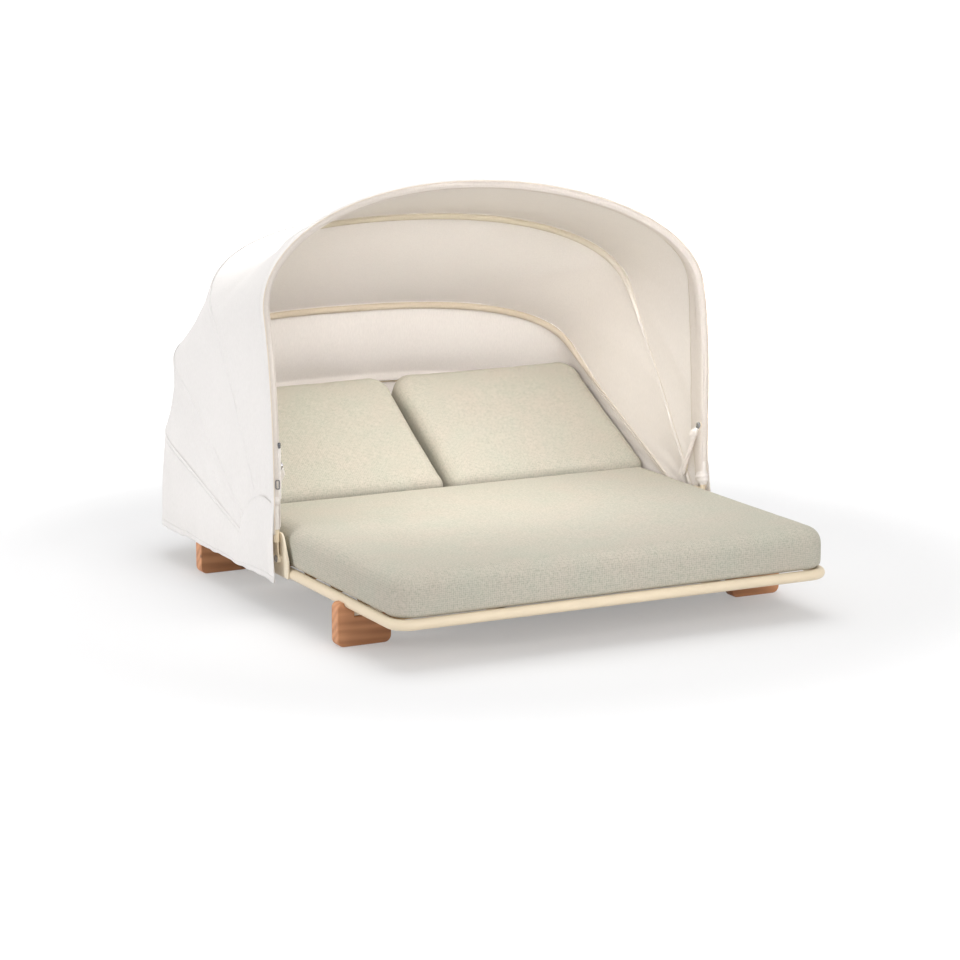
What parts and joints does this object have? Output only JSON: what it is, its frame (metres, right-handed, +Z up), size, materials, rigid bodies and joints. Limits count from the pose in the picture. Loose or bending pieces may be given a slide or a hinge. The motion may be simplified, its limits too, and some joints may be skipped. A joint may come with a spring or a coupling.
{
  "type": "outdoor daybed with canopy",
  "caption": "Low tube-framed daybed on wooden board legs, with a thick mattress, adjustable backs and a folding cloth canopy on hinged bows.",
  "frame": {"origin": "middle of the outline, on the floor", "axes": "+Y from the open foot end towards the backs, +X to the right when looking along +Y, +Z up"},
  "size_m": [1.7961, 2.2594, 1.4534],
  "materials": {
    "cream_metal": "satin powder coat",
    "bright_steel": "bright",
    "leg_wood": "oiled reddish hardwood",
    "slat_wood": "oiled pale wood",
    "canopy_cloth": "plain woven, matt",
    "cushion_cloth": "melange twill, matt"
  },
  "bodies": {
    "bed": {"rail": "cream_metal", "leg_front_left": "leg_wood", "leg_front_right": "leg_wood", "leg_back_left": "leg_wood", "leg_back_right": "leg_wood", "cross_beam_front": "cream_metal", "cross_beam_back": "cream_metal", "stringer_left": "cream_metal", "stringer_right": "cream_metal", "hinge_beam": "cream_metal", "seat_slat_1": "slat_wood", "seat_slat_2": "slat_wood", "seat_slat_3": "slat_wood", "seat_slat_4": "slat_wood", "seat_slat_5": "slat_wood", "seat_slat_6": "slat_wood", "mattress": "cushion_cloth", "hinge_ear_left_inner": "cream_metal", "hinge_ear_left_outer": "cream_metal", "rack_left_inner": "cream_metal", "rack_left_outer": "cream_metal", "side_plate_left": "cream_metal", "pivot_pin_left": "bright_steel", "bow_plate_left": "cream_metal", "hinge_ear_right_inner": "cream_metal", "hinge_ear_right_outer": "cream_metal", "rack_right_inner": "cream_metal", "rack_right_outer": "cream_metal", "side_plate_right": "cream_metal", "pivot_pin_right": "bright_steel", "bow_plate_right": "cream_metal", "bow_fixed": "cream_metal", "canopy_skirt": "canopy_cloth"},
    "back_left": {"back_frame_left": "cream_metal", "back_slat_left_1": "slat_wood", "back_slat_left_2": "slat_wood", "back_slat_left_3": "slat_wood", "back_cushion_left": "cushion_cloth"},
    "prop_left": {"prop_left": "cream_metal"},
    "back_right": {"back_frame_right": "cream_metal", "back_slat_right_1": "slat_wood", "back_slat_right_2": "slat_wood", "back_slat_right_3": "slat_wood", "back_cushion_right": "cushion_cloth"},
    "prop_right": {"prop_right": "cream_metal"},
    "canopy_back": {"bow_back": "cream_metal", "canopy_back_panel": "canopy_cloth"},
    "canopy_middle": {"bow_middle": "cream_metal", "canopy_middle_panel": "canopy_cloth"},
    "canopy_front": {"bow_front": "cream_metal", "canopy_sleeve": "canopy_cloth", "canopy_front_panel": "canopy_cloth"},
    "strut_left": {"strut_left": "cream_metal", "strut_knob_foot_left": "bright_steel", "strut_knob_head_left": "bright_steel"},
    "strut_right": {"strut_right": "cream_metal", "strut_knob_foot_right": "bright_steel", "strut_knob_head_right": "bright_steel"}
  },
  "joints": [
    {"name": "back_hinge_left", "type": "hinge", "parent": "bed", "child": "back_left", "pos_m": [-0.41, 0.21328, 0.185], "axis": [1, 0, 0], "range_deg": [-31, 14]},
    {"name": "prop_hinge_left", "type": "hinge", "parent": "back_left", "child": "prop_left", "pos_m": [-0.41, 0.50748, 0.3361], "axis": [1, 0, 0], "range_deg": [-32.2, 71.3]},
    {"name": "back_hinge_right", "type": "hinge", "parent": "bed", "child": "back_right", "pos_m": [0.41, 0.21328, 0.185], "axis": [1, 0, 0], "range_deg": [-31, 14]},
    {"name": "prop_hinge_right", "type": "hinge", "parent": "back_right", "child": "prop_right", "pos_m": [0.41, 0.50748, 0.3361], "axis": [1, 0, 0], "range_deg": [-32.2, 71.3]},
    {"name": "canopy_back_bow", "type": "hinge", "parent": "bed", "child": "canopy_back", "pos_m": [0, -0.21472, 0.2], "axis": [-1, 0, 0], "range_deg": [0, 8.5], "deforming": ["canopy_back_panel"]},
    {"name": "canopy_middle_bow", "type": "hinge", "parent": "canopy_back", "child": "canopy_middle", "pos_m": [0, -0.21472, 0.2], "axis": [-1, 0, 0], "range_deg": [0, 23.5], "deforming": ["canopy_middle_panel"]},
    {"name": "canopy_front_bow", "type": "hinge", "parent": "canopy_middle", "child": "canopy_front", "pos_m": [0, -0.21472, 0.2], "axis": [-1, 0, 0], "range_deg": [0, 18], "deforming": ["canopy_front_panel"]},
    {"name": "strut_pivot_left", "type": "hinge", "parent": "canopy_middle", "child": "strut_left", "pos_m": [-0.85, -0.10543, 0.33241], "axis": [-1, 0, 0], "range_deg": [0, 26]},
    {"name": "strut_pivot_right", "type": "hinge", "parent": "canopy_middle", "child": "strut_right", "pos_m": [0.85, -0.10543, 0.33241], "axis": [-1, 0, 0], "range_deg": [0, 26]}
  ],
  "couplings": [
    {"joint": "prop_hinge_left", "follows": "back_hinge_left", "ratio": -2.3},
    {"joint": "prop_hinge_right", "follows": "back_hinge_right", "ratio": -2.3},
    {"joint": "canopy_back_bow", "follows": "canopy_middle_bow", "ratio": 0.3617},
    {"joint": "canopy_front_bow", "follows": "canopy_middle_bow", "ratio": 0.7659},
    {"joint": "strut_pivot_left", "follows": "canopy_middle_bow", "ratio": 1.102},
    {"joint": "strut_pivot_right", "follows": "canopy_middle_bow", "ratio": 1.102}
  ]
}
